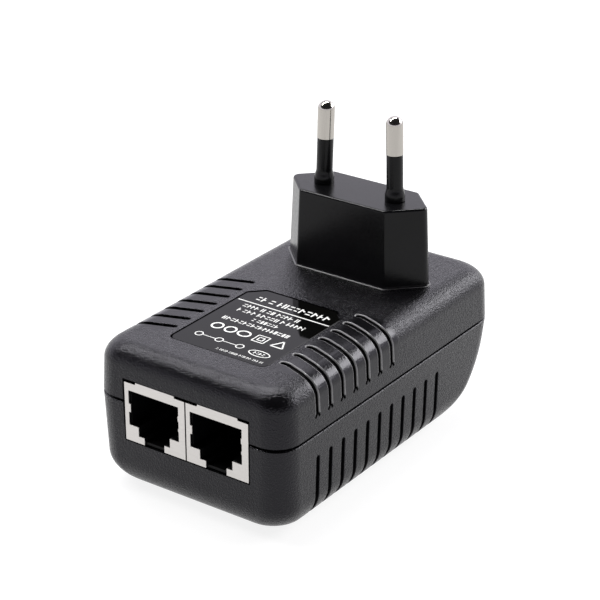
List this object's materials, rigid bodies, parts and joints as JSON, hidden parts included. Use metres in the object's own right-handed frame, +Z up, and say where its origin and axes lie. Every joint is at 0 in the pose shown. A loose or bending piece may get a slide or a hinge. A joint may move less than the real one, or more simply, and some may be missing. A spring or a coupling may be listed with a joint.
{
  "type": "power over ethernet injector",
  "caption": "Dark plastic wall-plug power injector: a rounded two-shell case with side grooves, shielded network sockets on one end and a round-pin mains plug standing up at the other.",
  "frame": {"origin": "under the middle of the case, on its underside", "axes": "+X to the right seen from the sockets, +Y from the socket face to the plug end, +Z up, the way the plug pins point"},
  "size_m": [0.049, 0.0814, 0.0701],
  "materials": {
    "case_plastic": "spark-textured black plastic",
    "plug_plastic": "smooth satin black plastic",
    "label_film": null,
    "nickel": "bright nickel plate",
    "contact_gold": "gold-plated spring bronze",
    "jack_plastic": "moulded black thermoplastic",
    "board": "glass-epoxy board with green solder mask",
    "ferrite": "sintered ferrite, matte dark grey",
    "copper": "enamelled copper winding",
    "tape": "yellow polyester winding tape",
    "epoxy": "black moulding compound",
    "can": "aluminium can in a dark plastic sleeve",
    "disc": "blue dipped epoxy",
    "wire": "red wire insulation"
  },
  "bodies": {
    "case": {"bottom_shell": "case_plastic", "bridge_rectifier": "epoxy", "bulk_capacitor": "can", "circuit_board": "board", "contact_insert_left": "jack_plastic", "contact_insert_right": "jack_plastic", "controller_chip": "epoxy", "isolation_capacitor": "disc", "jack_housing_left": "jack_plastic", "jack_housing_right": "jack_plastic", "jack_shield_left": "nickel", "jack_shield_right": "nickel", "mains_choke": "copper", "mains_fuse": "epoxy", "mains_lead_left": "wire", "mains_lead_right": "wire", "optocoupler": "epoxy", "output_capacitor_left": "can", "output_capacitor_right": "can", "output_choke": "copper", "output_diode": "epoxy", "pin_sleeve_left": "plug_plastic", "pin_sleeve_right": "plug_plastic", "plug_block": "plug_plastic", "plug_pin_left": "nickel", "plug_pin_right": "nickel", "rating_label": "label_film", "top_shell": "case_plastic", "transformer_bobbin": "epoxy", "transformer_core": "ferrite", "transformer_winding": "tape"},
    "contacts_left": {"contact_left_1": "contact_gold", "contact_left_2": "contact_gold", "contact_left_3": "contact_gold", "contact_left_4": "contact_gold", "contact_left_5": "contact_gold", "contact_left_6": "contact_gold", "contact_left_7": "contact_gold", "contact_left_8": "contact_gold"},
    "contacts_right": {"contact_right_1": "contact_gold", "contact_right_2": "contact_gold", "contact_right_3": "contact_gold", "contact_right_4": "contact_gold", "contact_right_5": "contact_gold", "contact_right_6": "contact_gold", "contact_right_7": "contact_gold", "contact_right_8": "contact_gold"}
  },
  "joints": [
    {"name": "contact_spring_left", "type": "hinge", "parent": "case", "child": "contacts_left", "pos_m": [-0.008, -0.03585, 0.0234], "axis": [1, 0, 0], "range_deg": [0, 9], "stiffness_Nm_per_rad": 0.05},
    {"name": "contact_spring_right", "type": "hinge", "parent": "case", "child": "contacts_right", "pos_m": [0.008, -0.03585, 0.0234], "axis": [1, 0, 0], "range_deg": [0, 9], "stiffness_Nm_per_rad": 0.05}
  ]
}
